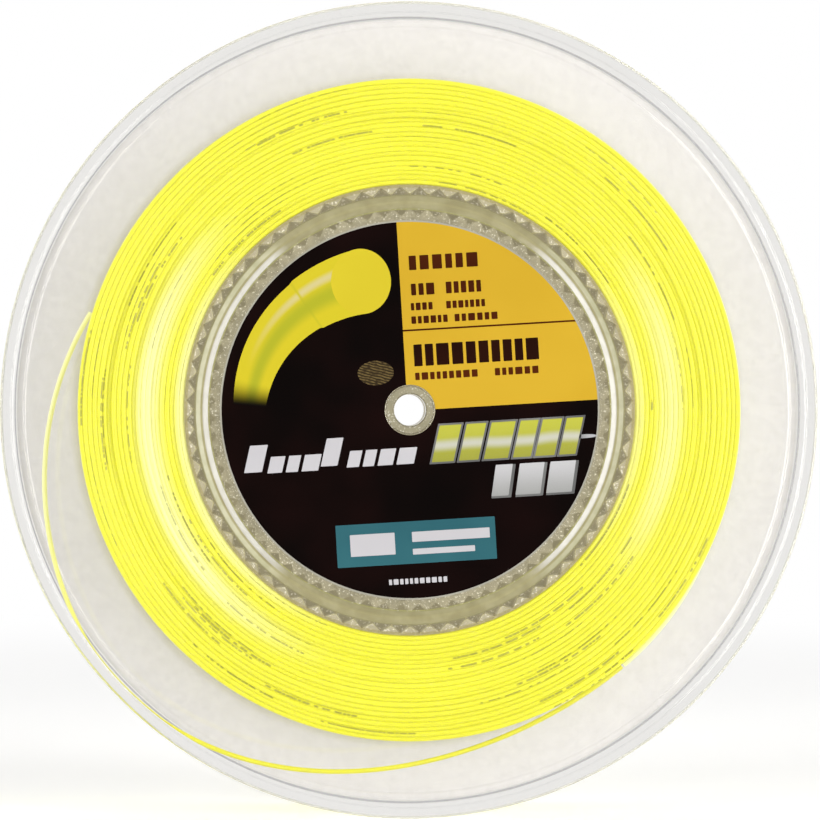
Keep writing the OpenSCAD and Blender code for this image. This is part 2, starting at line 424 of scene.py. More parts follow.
def drawn_string_material(name):
    """A picture of a round string: coordinates are along it and across it, from 0 to 1."""
    made, n = new_material(name)
    along, across, _ = n.split(n.place("UV"))
    edge, olive = (0.80, 0.66, 0.03, 1), (0.48, 0.50, 0.03, 1)
    shade = n.fade(n.apart(across, 0.54), 0.02, 0.26, 0.85, 0.0)
    tone = n.mix(shade, edge, olive)
    strip = n.below(n.apart(across, 0.27), 0.055, 0.05)
    coat = n.below(n.apart(along, 0.36), 0.006, 0.008)
    shine = n.math("MULTIPLY", strip, n.fade(along, 0.85, 0.3, 0.0, 0.75))
    shine = n.math("MULTIPLY", shine, n.math("SUBTRACT", 1.0, coat))
    lit = n.mix(shine, tone, (0.80, 0.70, 0.42, 1))
    stepped = n.mix(n.math("MULTIPLY", coat, 0.35), lit, (0.5, 0.5, 0.03, 1))
    screened = n.mix(n.dots(0.12), stepped, (0.7, 0.65, 0.05, 1))
    faded = n.mix(n.fade(along, 0.88, 1.0), screened, (0.005, 0.003, 0.003, 1))
    print_surface(n, faded, 0.2)
    return made


def foil_material(name):
    """A small gold foil seal with fine engraved lines that run across it."""
    made, n = new_material(name)
    x, _, z = n.split(n.place())
    bent = n.math("MULTIPLY", n.noise(500.0, 2.0, n.place()), 0.0006)
    slope = n.math("ADD", n.math("MULTIPLY", x, 0.25), bent)
    lines = n.math("SINE", n.math("MULTIPLY", n.math("ADD", z, slope), 9000.0))
    gold = n.mix(n.fade(lines, -0.6, 0.6), (0.05, 0.035, 0.015, 1), (0.32, 0.22, 0.08, 1))
    worn = n.mix(n.fade(n.noise(900.0, 2.0, n.place()), 0.4, 0.7), gold, (0.07, 0.045, 0.02, 1))
    base = n.add("ShaderNodeBsdfPrincipled", Base_Color=worn, Metallic=0.5, Roughness=0.4,
                 Normal=n.bump(lines, 0.3, 0.00003))
    n.surface(base.outputs[0])
    return made


# ---------------------------------------------------------------- mesh helpers

def put(name, data):
    """A new object in the scene."""
    made = bpy.data.objects.new(name, data)
    bpy.context.scene.collection.objects.link(made)
    return made


def mesh_piece(name, points, faces, body, materials, uvs=None, sharp=35, slots=None):
    """A piece from arrays, riding on a body. Edges bent more than sharp degrees stay crisp.

    Materials is one material, or a list with the number of each face's material in slots."""
    if volume(points, faces) < 0:
        faces = [face[::-1] for face in faces]
        uvs = None if uvs is None else [corner[::-1] for corner in uvs]
    mesh = bpy.data.meshes.new(name)
    mesh.from_pydata(points.tolist(), [], faces)
    mesh.update()
    mesh.polygons.foreach_set("use_smooth", [True] * len(mesh.polygons))
    mesh.set_sharp_from_angle(angle=math.radians(sharp))
    if uvs is not None:
        layer = mesh.uv_layers.new(name="strand")
        layer.data.foreach_set("uv", np.concatenate(uvs).astype(np.float32).ravel())
    piece = put(name, mesh)
    for material in materials if isinstance(materials, list) else [materials]:
        mesh.materials.append(material)
    if slots is not None:
        mesh.polygons.foreach_set("material_index", slots)
    if body is not None:
        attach(piece, body)
    return piece


def volume(points, faces):
    """Signed volume of a closed mesh: positive when its faces point outwards."""
    total = 0.0
    for size in {len(face) for face in faces}:
        flat = np.array([face for face in faces if len(face) == size])
        for k in range(1, size - 1):
            a, b, c = points[flat[:, 0]], points[flat[:, k]], points[flat[:, k + 1]]
            total += np.einsum("ij,ij->", a, np.cross(b, c))
    return total / 6


def grid_faces(rows, columns, closed_rows, closed_columns):
    """Quads of a grid of points, row by row, joined at its ends where closed."""
    faces = []
    for i in range(rows if closed_rows else rows - 1):
        for k in range(columns if closed_columns else columns - 1):
            j, m = (i + 1) % rows, (k + 1) % columns
            faces.append((i * columns + k, i * columns + m, j * columns + m, j * columns + k))
    return faces


def tube_arrays(path, radius, sides, closed, start=0.0):
    """Points, faces and (length, turn) coordinates of a round tube along a path."""
    count = len(path)
    ahead = np.roll(path, -1, 0) - np.roll(path, 1, 0)
    if not closed:
        ahead[0] = path[1] - path[0]
        ahead[-1] = path[-1] - path[-2]
    along = ahead / np.linalg.norm(ahead, axis=1, keepdims=True)
    across = np.cross((0, 1, 0), along)
    across /= np.linalg.norm(across, axis=1, keepdims=True)
    up = np.cross(along, across)
    turn = np.arange(sides) * TURN / sides
    ring = (np.cos(turn)[None, :, None] * across[:, None] +
            np.sin(turn)[None, :, None] * up[:, None])
    points = (path[:, None] + radius * ring).reshape(-1, 3)
    faces = grid_faces(count, sides, closed, True)
    steps = np.linalg.norm(np.roll(path, -1, 0) - path, axis=1)
    length = start + np.concatenate([[0], np.cumsum(steps)])
    uvs = []
    for i in range(count if closed else count - 1):
        for k in range(sides):
            near, far = k / sides, (k + 1) / sides
            uvs.append([(length[i], near), (length[i], far),
                        (length[i + 1], far), (length[i + 1], near)])
    if not closed:
        ends = (list(range(sides))[::-1], [(count - 1) * sides + k for k in range(sides)])
        for place, cap in zip((0, -2), ends):
            faces.append(tuple(cap))
            uvs.append([(length[place], 0.5)] * sides)
    return points, faces, uvs


def join_arrays(parts):
    """One set of points, faces and coordinates from several."""
    points, faces, uvs, start = [], [], [], 0
    for p, f, u in parts:
        points.append(p)
        uvs += u
        faces += [tuple(v + start for v in face) for face in f]
        start += len(p)
    return np.concatenate(points), faces, uvs


def round_path(radius, angle, depth):
    """Points at radius and angle round the reel's axis, and depth along it."""
    return np.stack([radius * np.cos(angle), depth, radius * np.sin(angle)], 1)


def ease(t):
    """Smooth step from 0 to 1."""
    return t * t * (3 - 2 * t)


def zigzag(angle):
    """Slightly rounded zigzag round the reel: 0 at the roots of a spline, 1 at its tips."""
    sharp = 1 - np.abs(2 * (angle * TEETH / TURN % 1) - 1)
    return 0.6 * sharp + 0.4 * ease(sharp)


class Corner:
    """A corner of a turned section: radius, height, rounding, tooth height, and the numbers
    of the materials on its rounded edge and on the surface after it."""

    def __init__(self, radius, height, rounding=0.0, tooth=0.0, edge=0, after=0):
        self.place = np.array([radius, height, tooth])
        self.rounding, self.edge, self.after = rounding, edge, after


def soften(outline):
    """Rounds the corners of a closed section, to points and the material after each.

    A point just before and after each rounding keeps the surfaces between them flat."""
    points, slots = [], []
    for k, corner in enumerate(outline):
        middle = corner.place
        if corner.rounding == 0:
            points.append(middle)
            slots.append(corner.after)
            continue
        before = outline[k - 1].place - middle
        after = outline[(k + 1) % len(outline)].place - middle
        back = before * corner.rounding / np.hypot(before[0], before[1])
        on = after * corner.rounding / np.hypot(after[0], after[1])
        points.append(middle + 1.4 * back)
        slots.append(outline[k - 1].after)
        for t in np.linspace(0, 1, 4):
            points.append(middle + (1 - t) ** 2 * back + t * t * on)
            slots.append(corner.edge if t < 1 else corner.after)
        points.append(middle + 1.4 * on)
        slots.append(corner.after)
    return points, slots


def lathe_arrays(outline, steps, side=1):
    """A closed section turned round the Y axis, with teeth where it says.

    Gives points, faces and the number of each face's material."""
    angle = np.arange(steps) * TURN / steps
    tooth = zigzag(angle)
    points, slots = soften(outline)
    rows = [round_path(radius + tooth_h * tooth, angle, np.full(steps, side * height))
            for radius, height, tooth_h in points]
    return np.concatenate(rows), grid_faces(len(rows), steps, True, True), np.repeat(slots, steps)


# ---------------------------------------------------------------- flanges and drum

# Places of a flange's materials in its list. Clear is the one where a corner names none.
# LINE is a painted highlight on the groove's rounded edges.
FROSTED, GROOVE, EDGE, LINE = 1, 2, 3, 4


def flange_outline():
    """Section of a flange: plate, rim bead, groove, label seat, splined skirts and tube."""
    small, bead_in = 0.12 * MM, FLANGE_R - BEAD_W
    chamfer, floor_half, tube_end = 0.35 * MM, 0.3 * MM, SKIRT_END + FIT
    boss = OUTER_FACE + BOSS_STAND
    groove_back = OUTER_FACE - GROOVE_DEPTH - GROOVE_FLOOR
    back_bead = INNER_FACE - BEAD_STAND
    gap_in, gap_out = SPLINE_IN + SKIRT_T, SPLINE_OUT - SKIRT_T
    return [
        Corner(BORE_R, tube_end),
        Corner(BORE_R, boss - chamfer),
        Corner(BORE_R + chamfer, boss, after=FROSTED),
        Corner(BOSS_R, boss, 0.3 * MM),
        Corner(BOSS_R, SEAT_FACE),
        Corner(SEAT_R, SEAT_FACE, small),
        Corner(SEAT_R, OUTER_FACE, small),
        Corner(GROOVE_MID - GROOVE_W / 2, OUTER_FACE, 0.2 * MM, 0, LINE, GROOVE),
        Corner(GROOVE_MID - floor_half, OUTER_FACE - GROOVE_DEPTH, small, 0, GROOVE, GROOVE),
        Corner(GROOVE_MID + floor_half, OUTER_FACE - GROOVE_DEPTH, small, 0, GROOVE, GROOVE),
        Corner(GROOVE_MID + GROOVE_W / 2, OUTER_FACE, 0.2 * MM, 0, LINE),
        Corner(bead_in - 0.5 * MM, OUTER_FACE, 0.4 * MM),
        Corner(bead_in + 0.5 * MM, RIM_FACE, 0.4 * MM),
        Corner(FLANGE_R, RIM_FACE, 0.6 * MM, 0, EDGE, EDGE),
        Corner(FLANGE_R, back_bead, 0.6 * MM, 0, EDGE),
        Corner(bead_in + 0.5 * MM, back_bead, 0.4 * MM),
        Corner(bead_in - 0.5 * MM, INNER_FACE, 0.4 * MM),
        Corner(SPLINE_OUT, INNER_FACE, 0, TOOTH_H, after=FROSTED),
        Corner(SPLINE_OUT, SKIRT_END, small, TOOTH_H, FROSTED, FROSTED),
        Corner(gap_out, SKIRT_END, small, 0, FROSTED, FROSTED),
        Corner(gap_out, groove_back, small, 0, FROSTED, FROSTED),
        Corner(gap_in, groove_back, small, 0, FROSTED, FROSTED),
        Corner(gap_in, SKIRT_END, small, 0, FROSTED, FROSTED),
        Corner(SPLINE_IN, SKIRT_END, small, -TOOTH_H, FROSTED, FROSTED),
        Corner(SPLINE_IN, DISC_BACK, 0, -TOOTH_H, after=FROSTED),
        Corner(BOSS_R, DISC_BACK, 0.3 * MM),
        Corner(BOSS_R, tube_end),
    ]


# The drum's second material is a painted glint: a pale glowing plastic on its teeth's rounded
# edges.
PAINTED_GLINT = 1                         # place of the drum's second material


def drum_outline():
    """Section of the drum: barrel, inner ring, web and central tube, the same both ways."""
    small, line, fillet = 0.15 * MM, 0.3 * MM, 0.3 * MM
    out_root, in_root = SPLINE_OUT + SPLINE_GAP, SPLINE_IN - SPLINE_GAP
    ring_end = DISC_BACK - FIT
    half = [
        (BORE_R, SKIRT_END),
        (BOSS_R + FIT, SKIRT_END),
        (BOSS_R + FIT, ring_end, small),
        (HUB_R, ring_end, small),
        (HUB_R, WEB_HALF, fillet),
        (RING_R, WEB_HALF, fillet),
        (RING_R, ring_end, small),
        (in_root, ring_end, line, -TOOTH_H, PAINTED_GLINT),
        (in_root, WEB_HALF, 0, -TOOTH_H),
        (out_root, WEB_HALF, 0, TOOTH_H),
        (out_root, DRUM_HALF, line, TOOTH_H, PAINTED_GLINT),
        (DRUM_R, DRUM_HALF, small),
    ]
    mirrored = [(corner[0], -corner[1], *corner[2:]) for corner in half[::-1]]
    return [Corner(*corner) for corner in half + mirrored]


def make_flange(node, side, materials):
    points, faces, slots = lathe_arrays(flange_outline(), TEETH * 8, side)
    piece = mesh_piece(node + "_moulding", points, faces, "reel", materials,
                       slots=slots)
    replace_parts(piece, node)


def make_drum(materials):
    points, faces, slots = lathe_arrays(drum_outline(), TEETH * 8)
    piece = mesh_piece("drum_moulding", points, faces, "reel", materials,
                       slots=slots)
    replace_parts(piece, "drum")


def make_ribs(material):
    """Stiffening ribs on the drum's web, from its tube to its inner ring."""
    ribs, half_t = 6, 0.6 * MM
    inner, outer = BOSS_R + 2.4 * MM, SPLINE_IN - TOOTH_H - 2.2 * MM
    low, high = 0.7 * MM, SKIRT_END
    made = bmesh.new()
    for k in range(ribs):
        for side in (-1, 1):
            turn = k * TURN / ribs
            corners = [(x, side * y, z) for x in (inner, outer) for y in (low, high)
                       for z in (-half_t, half_t)]
            placed = [made.verts.new((x * math.cos(turn) - z * math.sin(turn), y,
                                      x * math.sin(turn) + z * math.cos(turn)))
                      for x, y, z in corners]
            for face in ((0, 1, 3, 2), (4, 6, 7, 5), (0, 4, 5, 1), (2, 3, 7, 6),
                         (0, 2, 6, 4), (1, 5, 7, 3)):
                made.faces.new([placed[v] for v in face])
    bmesh.ops.recalc_face_normals(made, faces=made.faces)
    bmesh.ops.bevel(made, geom=made.edges[:], offset=0.15 * MM, segments=2, affect="EDGES",
                    profile=0.7)
    mesh = bpy.data.meshes.new("drum_ribs")
    made.to_mesh(mesh)
    made.free()
    mesh.materials.append(material)
    piece = put("drum_ribs", mesh)
    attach(piece, "reel")


# ---------------------------------------------------------------- wound string

STEPS = 240                      # points round a wound turn
ROUND = np.arange(STEPS) * TURN / STEPS
SIDES = 8                        # and round its strand


def settle(turns, order, floor):
    """Depths of turns pressed towards a flange: each lies over those placed before it.

    Each is smoothed along its length, as a stiff string would be."""
    reach = 18
    kernel = np.hanning(2 * reach + 1)
    kernel /= kernel.sum()
    placed, depths = [], {}
    for k in order:
        depth = np.full(STEPS, floor[k])
        for j in placed:
            apart = turns[k] - turns[j]
            gap = np.sqrt(np.maximum(STRING_D ** 2 - apart ** 2, 0))
            depth = np.maximum(depth, np.where(gap > 0, depths[j] + gap, 0))
        wrapped = np.concatenate([depth[-reach:], depth, depth[:reach]])
        depths[k] = np.convolve(wrapped, kernel, "valid")
        placed.append(k)
    return depths


def waves(rng, size, highest=4):
    """A smooth closed wander round the circle, of about the given size."""
    total = np.zeros(STEPS)
    for k in range(1, highest + 1):
        total += rng.normal() * np.cos(k * ROUND + rng.uniform(0, TURN)) / k
    return size * total


def wound_turn(rng, radius, depth):
    """One closed turn of string. Its print starts at a random length along it."""
    return tube_arrays(round_path(radius, ROUND, depth), STRING_R, SIDES, True,
                       rng.uniform(0, 5))


def strings_piece(name, parts, material):
    """Several strands as one piece of the reel."""
    points, faces, uvs = join_arrays(parts)
    return mesh_piece(name, points, faces, "reel", material, uvs, 180)


def face_turns(name, seed, side, material):
    """The turns that lie against one flange, some a little deeper than others."""
    rng = np.random.default_rng(seed)
    inner, outer = DRUM_R + STRING_R * 1.1, PACK_R - STRING_R
    pitch = 1.24 * MM
    count = int((outer - inner) / pitch) + 1
    drift = waves(rng, 0.07 * MM, 3)
    turns = []
    for k in range(count):
        drift = 0.7 * drift + waves(rng, 0.05 * MM)
        edge = min(k, count - 1 - k) / 3
        base = inner + (outer - inner) * k / (count - 1)
        turns.append(np.clip(base + drift * min(1, edge), inner, outer))
    order = rng.permutation(count)
    floor = rng.uniform(0, 0.2 * MM, count)
    floor[-1] = 0.3 * MM
    depths = settle(turns, order, floor)
    parts = []
    for k in range(count):
        parts.append(wound_turn(rng, turns[k], side * (PACK_HALF - STRING_R - depths[k])))
    return strings_piece(name, parts, material)


def outer_turns(name, seed, material):
    """The outermost layer, which stops one turn short of the rear flange."""
    rng = np.random.default_rng(seed)
    low = -PACK_HALF + 1.9 * STRING_R
    high = PACK_HALF - 2.1 * STRING_D
    count = round((high - low) / (1.26 * MM)) + 1
    parts = []
    for k in range(count):
        depth = low + (high - low) * k / (count - 1) + waves(rng, 0.03 * MM)
        radius = PACK_R - STRING_R + np.minimum(waves(rng, 0.05 * MM), 0)
        parts.append(wound_turn(rng, radius, depth))
    return strings_piece(name, parts, material)


def pack_core(material):
    """The turns inside the pack, which only show as a ground between the outer ones."""
    round_r = 0.5 * MM
    inner, outer = DRUM_R + 0.1 * MM, PACK_R - 1.5 * STRING_D
    half = PACK_HALF - 1.2 * STRING_D
    outline = [Corner(r, y, round_r) for r, y in ((inner, -half), (outer, -half),
                                                  (outer, half), (inner, half))]
    points, faces, _ = lathe_arrays(outline, STEPS)
    return mesh_piece("pack_core", points, faces, "reel", material)


# ---------------------------------------------------------------- loose string

TAKEOFF = math.radians(-50)      # where the loose turn leaves the pack
RISE = math.radians(89)          # from there to its widest point, by the rim
FALL = math.radians(58)          # from its widest point to its cut tip
TAKEOFF_Y, TIP_Y = -9.5 * MM, 3 * MM
ON_PACK_R = PACK_R + STRING_R + 0.12 * MM
WIDEST_R = FLANGE_R - 1.25 * MM
TIP_R = PACK_R + 1.9 * MM


def loose_path(t):
    """The loose string at shares t of its rise to the rim, and from 1 to 2 of its fall."""
    up, down = np.minimum(t, 1), np.maximum(t - 1, 0)
    ease = np.sin(TURN / 4 * up ** 1.2) ** 2
    rising = ON_PACK_R + (WIDEST_R - ON_PACK_R) * ease
    falling = TIP_R + (WIDEST_R - TIP_R) * (1 - down ** 1.3)
    radius = np.where(t <= 1, rising, falling)
    angle = TAKEOFF - RISE * up - FALL * down
    depth = TAKEOFF_Y + (TIP_Y - TAKEOFF_Y) * (t / 2) ** 2
    return round_path(radius, angle, depth)


def last_turn_path():
    """The last turn in its slot by the rear flange, then over the pack to the take-off."""
    slot_r, slot_y = PACK_R - STRING_R, PACK_HALF - STRING_R
    cross = math.radians(62)
    lie = math.radians(285)
    lying = np.linspace(TAKEOFF + cross + lie, TAKEOFF + cross, 220)
    crossing = np.linspace(0, 1, 60)[1:]
    lift = ease(np.clip(crossing / 0.12, 0, 1))
    glide = ease(crossing)
    first = round_path(np.full(220, slot_r), lying, np.full(220, slot_y))
    second = round_path(slot_r + (ON_PACK_R - slot_r) * lift, TAKEOFF + cross * (1 - crossing),
                        slot_y + (TAKEOFF_Y - slot_y) * glide)
    return np.concatenate([first, second])


def make_loose_string(material):
    """One strand from the take-off to the cut end, in place of the CAD's loose turn and free end.
    """
    path = loose_path(np.linspace(0.004, 2, 320))
    points, faces, uvs = tube_arrays(path, STRING_R, 16, False, 0.35)
    piece = mesh_piece("loose_string", points, faces, None, material, uvs, 60)
    ahead = loose_path(np.array([0.99, 1.01]))
    along = ahead[1] - ahead[0]
    along *= 15 * MM / np.linalg.norm(along)
    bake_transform(piece)
    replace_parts(piece, "loose_turn", "free_end")
    points, faces, uvs = tube_arrays(last_turn_path(), STRING_R, 12, False, 0.1)
    mesh_piece("last_turn", points, faces, "loose_turn", material, uvs, 60)


def make_knot(material):
    """Stopper knot on the string's inner end, and the string on through the drum's wall."""
    low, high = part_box("string_start")
    middle = (low + high) / 2
    turn = math.atan2(middle.z, middle.x)
    depth = middle.y
    centre_r = (SPLINE_OUT + SPLINE_IN) / 2
    t = np.linspace(0, TURN, 96, endpoint=False)
    size = 0.38 * MM
    local = np.stack([np.sin(t) + 2 * np.sin(2 * t), np.cos(t) - 2 * np.cos(2 * t),
                      -np.sin(3 * t)], 1) * size
    end = np.stack([np.linspace(0.3, 1, 12) * (DRUM_R - centre_r), np.zeros(12),
                    np.zeros(12)], 1)
    parts = []
    for shape, closed in ((local, True), (end, False)):
        x, y, z = shape[:, 0] + centre_r, shape[:, 2], shape[:, 1]
        path = np.stack([x * math.cos(turn) - z * math.sin(turn), y + depth,
                         x * math.sin(turn) + z * math.cos(turn)], 1)
        parts.append(tube_arrays(path, STRING_R * 0.95, 12, closed))
    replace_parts(strings_piece("string_knot", parts, material), "string_start")


# ---------------------------------------------------------------- label prints

LEAN = math.radians(3.4)         # the label sits a little turned on the reel
LAYER = 0.015 * MM               # height of each printed layer
SLANT = 0.28                     # sideways lean of the large blocks, per height


def slab(middle, size, slant=0.0):
    """Outline of a block with cut corners, in millimetres of the label: right, then up."""
    half_w, half_h, cut = size[0] / 2, size[1] / 2, 0.12
    corners = [(half_w, cut - half_h), (half_w, half_h - cut), (half_w - cut, half_h),
               (cut - half_w, half_h), (-half_w, half_h - cut), (-half_w, cut - half_h),
               (cut - half_w, -half_h), (half_w - cut, -half_h)]
    return [(middle[0] + x + slant * y, middle[1] + y) for x, y in corners]


def block_row(rng, middle, size, count, slant=0.0, gap=0.3):
    """A row of blocks of uneven widths, which takes the place of a line of print."""
    widths = rng.uniform(0.8, 1.2, count)
    widths *= size[0] / widths.sum()
    starts = middle[0] - size[0] / 2 + np.cumsum(widths) - widths
    space = gap * size[0] / count
    return [slab((start + width / 2, middle[1]), (width - space, size[1]), slant)
            for start, width in zip(starts, widths)]


def oval(middle, size):
    turn = np.linspace(0, TURN, 72, endpoint=False)
    return [(middle[0] + size[0] * math.cos(a), middle[1] + size[1] * math.sin(a)) for a in turn]


def quarter(low_u, low_v, inner, outer):
    """Outline of the part of a ring that is right of low_u and above low_v."""
    far = np.linspace(math.asin(low_v / outer), math.acos(low_u / outer), 90)
    near = np.linspace(math.acos(low_u / inner), math.asin(low_v / inner), 24)
    return ([(outer * math.cos(a), outer * math.sin(a)) for a in far] +
            [(inner * math.cos(a), inner * math.sin(a)) for a in near])


def on_label(flat, height, side):
    """Points on a label's face from places on it in millimetres."""
    right, up = flat[:, 0] * MM, flat[:, 1] * MM
    x = right * math.cos(LEAN) - up * math.sin(LEAN)
    z = right * math.sin(LEAN) + up * math.cos(LEAN)
    return np.stack([-side * x, np.full(len(flat), side * (LABEL_FACE + height)), z], 1)


def print_piece(name, outlines, layer, side, material):
    """Flat shapes of one colour, as thin closed prisms on a label."""
    parts = []
    for outline in outlines:
        flat = np.array(outline)
        count = len(flat)
        points = np.concatenate([on_label(flat, 0, side), on_label(flat, layer * LAYER, side)])
        faces = [tuple(range(count))[::-1], tuple(range(count, 2 * count))]
        faces += [(k, (k + 1) % count, count + (k + 1) % count, count + k) for k in range(count)]
        places = np.concatenate([flat, flat]) * MM
        parts.append((points, faces, [[tuple(places[v]) for v in face] for face in faces]))
    points, faces, uvs = join_arrays(parts)
    return mesh_piece(name, points, faces, "reel", material, uvs, 20)


def print_ring(name, inner, outer, layer, side, material):
    """A printed ring round the boss."""
    low, high = LABEL_FACE, LABEL_FACE + layer * LAYER
    section = [Corner(r, y) for r, y in ((inner, low), (outer, low), (outer, high),
                                         (inner, high))]
    points, faces, _ = lathe_arrays(section, 256, side)
    return mesh_piece(name, points, faces, "reel", material, sharp=20)


def drawn_string(name, stations, widths, layer, side, material):
    """A picture of a curved string, as a thin ribbon along a smooth curve."""
    a, b, c, d = (np.array(station) for station in stations)
    count = 64
    t = np.linspace(0, 1, count)[:, None]
    path = (1 - t) ** 3 * a + 3 * (1 - t) ** 2 * t * b + 3 * (1 - t) * t * t * c + t ** 3 * d
    along = np.gradient(path, axis=0)
    along /= np.linalg.norm(along, axis=1, keepdims=True)
    across = np.stack([-along[:, 1], along[:, 0]], 1)
    step = 0.35 * np.clip((t - 0.35) / 0.02, 0, 1)
    half = widths[0] + (widths[1] - widths[0]) * t ** 1.2 - step
    near, far = path - half * across, path + half * across
    top = layer * LAYER
    rows = [on_label(near, 0, side), on_label(near, top, side),
            on_label(far, top, side), on_label(far, 0, side)]
    points = np.stack(rows, 1).reshape(-1, 3)
    faces = grid_faces(count, 4, False, True)
    share = (0.0, 0.0, 1.0, 1.0)
    places = [(t[v // 4, 0], share[v % 4]) for v in range(len(points))]
    faces += [(3, 2, 1, 0), tuple(range(4 * count - 4, 4 * count))]
    uvs = [[places[v] for v in face] for face in faces]
    return mesh_piece(name, points, faces, "reel", material, uvs, 20)


def front_prints():
    """The front label: an amber panel, a drawn string, and blocks in place of all lettering."""
    rng = np.random.default_rng(11)
    edge, ring = PRINT_R / MM, BOSS_R / MM + 0.3
    print_ring("label_ground", ring * MM, PRINT_R, 1, FRONT, black)
    print_piece("amber_panel", [quarter(-0.6, -0.15, ring, edge)], 2, FRONT, amber)
    low, high = 20.2, 20.65
    divider = [(-0.6, low), (math.sqrt(edge ** 2 - low ** 2), low),
               (math.sqrt(edge ** 2 - high ** 2), high), (-0.6, high)]
    fine = [divider]
    for middle, size, count in (((10.8, 37.7), (18.6, 3.7), 6),
                                ((5.1, 30.85), (6.6, 3.0), 3),
                                ((15.6, 30.85), (9.6, 3.0), 5),
                                ((4.6, 26.45), (6.0, 1.9), 4),
                                ((15.9, 26.45), (10.4, 1.9), 7),
                                ((6.4, 23.0), (9.8, 1.9), 6),
                                ((18.4, 23.0), (11.6, 1.9), 6),
                                ((9.9, 8.5), (16.6, 1.9), 9),
                                ((28.0, 8.5), (11.8, 1.9), 6)):
        fine += block_row(rng, middle, size, count)
    print_piece("fine_blocks", fine, 3, FRONT, maroon)
    print_piece("bold_blocks", block_row(rng, (17.9, 13.9), (32.9, 5.6), 10, gap=0.24), 3, FRONT,
                umber)
    tall = [slab((-40.2, -10.2), (4.6, 6.9), SLANT), slab((-20.6, -9.6), (4.3, 7.1), SLANT)]
    tall += block_row(rng, (-30.4, -12.0), (14.0, 4.2), 3, SLANT, 0.2)
    tall += block_row(rng, (-7.9, -11.7), (18.2, 4.2), 4, SLANT, 0.2)
    print_piece("white_blocks", tall, 2, FRONT, white)
    bars = ((8.9, 5.6), (15.6, 5.0), (22.6, 6.2), (29.3, 4.6), (35.2, 5.0), (41.0, 4.2))
    print_piece("shine_edges", [slab((middle, -9.1), (width + 1.0, 10.3), SLANT)
                                for middle, width in bars], 2, FRONT, steel)
    print_piece("shine_blocks", [slab((middle, -9.1), (width, 9.3), SLANT)
                                 for middle, width in bars], 3, FRONT, chrome)
    places = ((22.6, 4.4), (29.8, 6.4), (37.8, 6.6))
    figures = [slab((middle, -19.4), (width, 8.0), 0.2) for middle, width in places]
    rims = [slab((middle + 0.35, -19.7), (width + 0.7, 8.5), 0.2) for middle, width in places]
    print_piece("figure_edges", rims, 2, FRONT, steel)
    print_piece("figure_blocks", figures, 3, FRONT, silver)
    print_piece("light_streak", [oval((44.6, -9.4), (3.0, 0.5))], 2, FRONT, streak)
    print_piece("slate_panel", [slab((-0.4, -34.0), (41.0, 10.9))], 2, FRONT, slate)
    marks = [slab((-11.6, -34.0), (11.5, 5.6)), slab((8.6, -32.6), (20.0, 2.6)),
             slab((6.6, -36.4), (16.0, 1.5))]
    marks += block_row(rng, (-0.5, -43.9), (15.4, 1.4), 11)
    print_piece("pale_marks", marks, 3, FRONT, white)
    curve = ((-11.0, 33.6), (-24.0, 31.5), (-38.5, 22.0), (-41.0, 3.6))
    drawn_string("drawn_string", curve, (8.3, 4.5), 2, FRONT, drawn)
    print_piece("drawn_cut", [oval((-10.6, 33.7), (7.7, 8.4))], 3, FRONT, cut_face)


def rear_prints():
    """The rear label: a plain ground, an amber band and rows of blocks."""
    rng = np.random.default_rng(12)
    ring = BOSS_R / MM + 0.3
    print_ring("rear_ground", ring * MM, PRINT_R, 1, REAR, black)
    print_piece("rear_panel", [slab((0, -24.0), (66.0, 17.0))], 2, REAR, amber)
    rows = block_row(rng, (-16.0, -19.2), (26.0, 2.4), 9)
    for up, width, count in ((-23.4, 54.0, 22), (-26.2, 50.0, 20), (-29.0, 56.0, 23)):
        rows += block_row(rng, (-29.0 + width / 2, up), (width, 1.3), count)
    print_piece("rear_fine_blocks", rows, 3, REAR, maroon)
    wide = block_row(rng, (0, 21.0), (58.0, 7.0), 8, SLANT, 0.2)
    wide += block_row(rng, (0, 12.6), (34.0, 2.6), 9, 0.0, 0.2)
    print_piece("rear_white_blocks", wide, 2, REAR, white)


# ---------------------------------------------------------------- studio

def studio():
    """White surroundings, dark where the front mirrors them, and a soft light on each side."""
    world = bpy.data.worlds.new("studio")
    bpy.context.scene.world = world
    world.use_nodes = True
    world.node_tree.nodes.clear()
    n = Nodes(world.node_tree)
    seen = n.add("ShaderNodeBackground", Color=(1, 1, 1, 1), Strength=1.0)
    towards_back = n.split(n.place("Generated"))[1]
    behind = n.fade(towards_back, -0.1, 0.3, 0.0, 0.6)
    front = n.fade(towards_back, -0.92, -0.7, 0.03, 0.26)
    through = n.math("MULTIPLY", n.ray("Transmission"), 0.55)
    level = n.math("MAXIMUM", n.math("ADD", behind, front), through)
    room = n.add("ShaderNodeBackground", Color=(1, 0.99, 0.975, 1), Strength=level)
    mixed = n.shader_mix(n.ray("Camera"), room.outputs[0], seen.outputs[0])
    n.add("ShaderNodeOutputWorld", Surface=mixed)
    for side, power in ((-1, 6.0), (1, 7.4)):
        light = bpy.data.lights.new("softbox", "AREA")
        light.shape = "RECTANGLE"
        light.size, light.size_y = 0.25, 1.4
        light.energy = power
        box = put("softbox", light)
        box.location = (side * 0.61, -0.32, 0.03)
        box.rotation_euler = (-box.location).to_track_quat("-Z", "Y").to_euler()


def stage_piece(name, corners, faces, material):
    mesh = bpy.data.meshes.new(name)
    mesh.from_pydata(corners, [], faces)
    mesh.materials.append(material)
    put(name, mesh)


